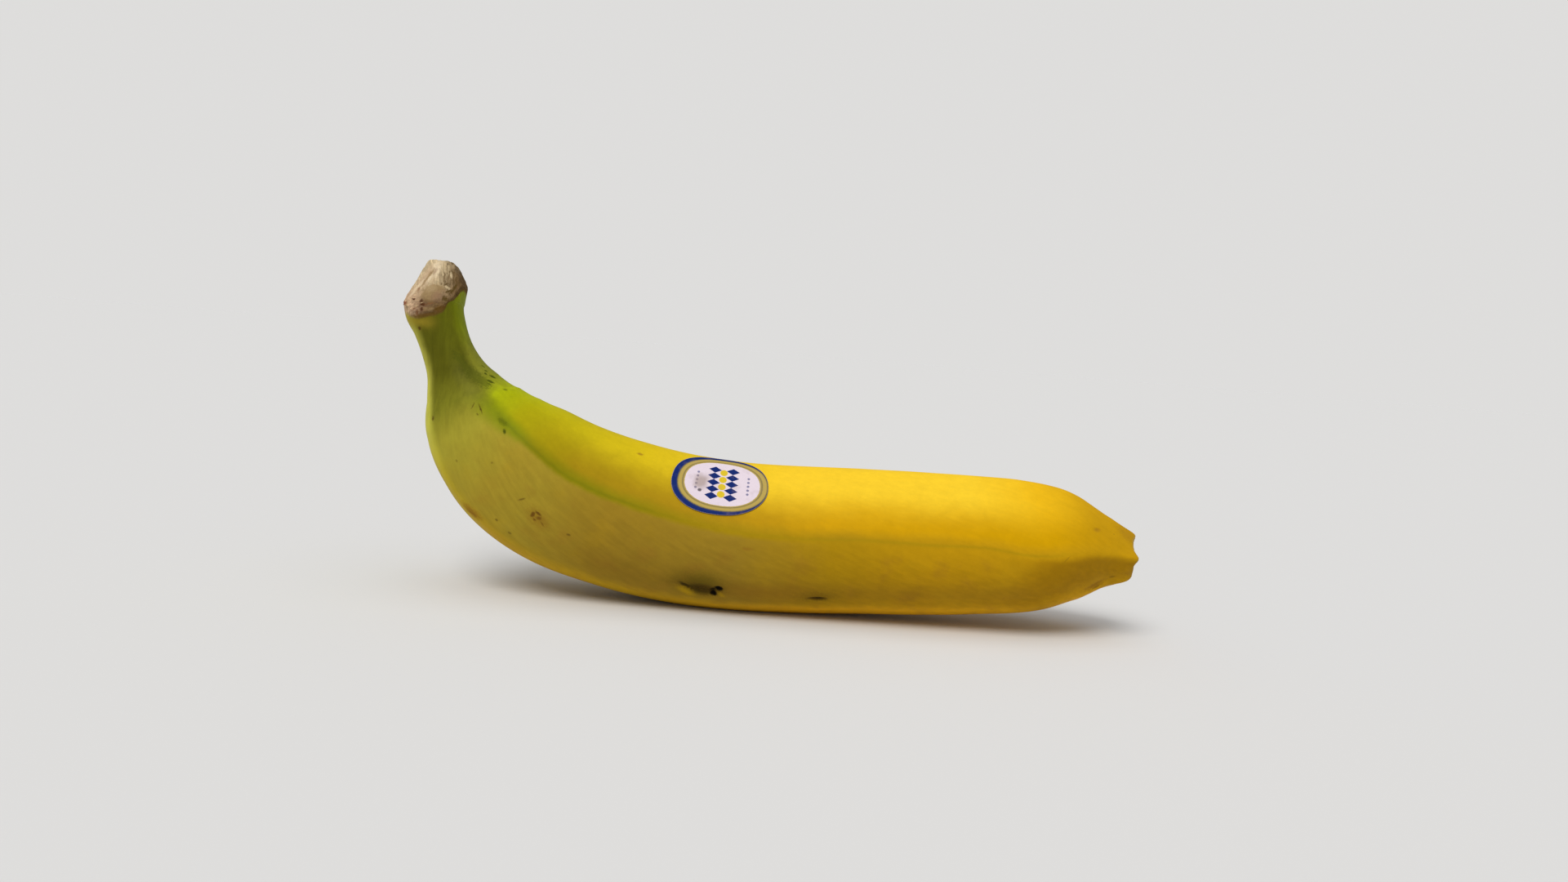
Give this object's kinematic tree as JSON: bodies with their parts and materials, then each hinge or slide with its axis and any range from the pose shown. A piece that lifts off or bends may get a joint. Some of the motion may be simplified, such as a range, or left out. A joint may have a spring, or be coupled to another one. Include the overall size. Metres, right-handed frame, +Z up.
{
  "type": "banana",
  "caption": "Single ripe banana with its cut stalk, lying on its curved back, with a small oval sticker on the peel.",
  "frame": {"origin": "middle of the bounding box in plan, on the surface that the fruit lies on", "axes": "+Z up, +X towards the blossom tip with the stalk rising at -X, -Y towards the side that carries the sticker"},
  "size_m": [0.1882, 0.0354, 0.0816],
  "materials": {
    "peel": "satin waxy peel, green at the stalk and golden towards the tip",
    "sticker_paper": "coated paper, printed"
  },
  "bodies": {
    "root": {"banana": "peel", "sticker": "sticker_paper"}
  },
  "joints": []
}
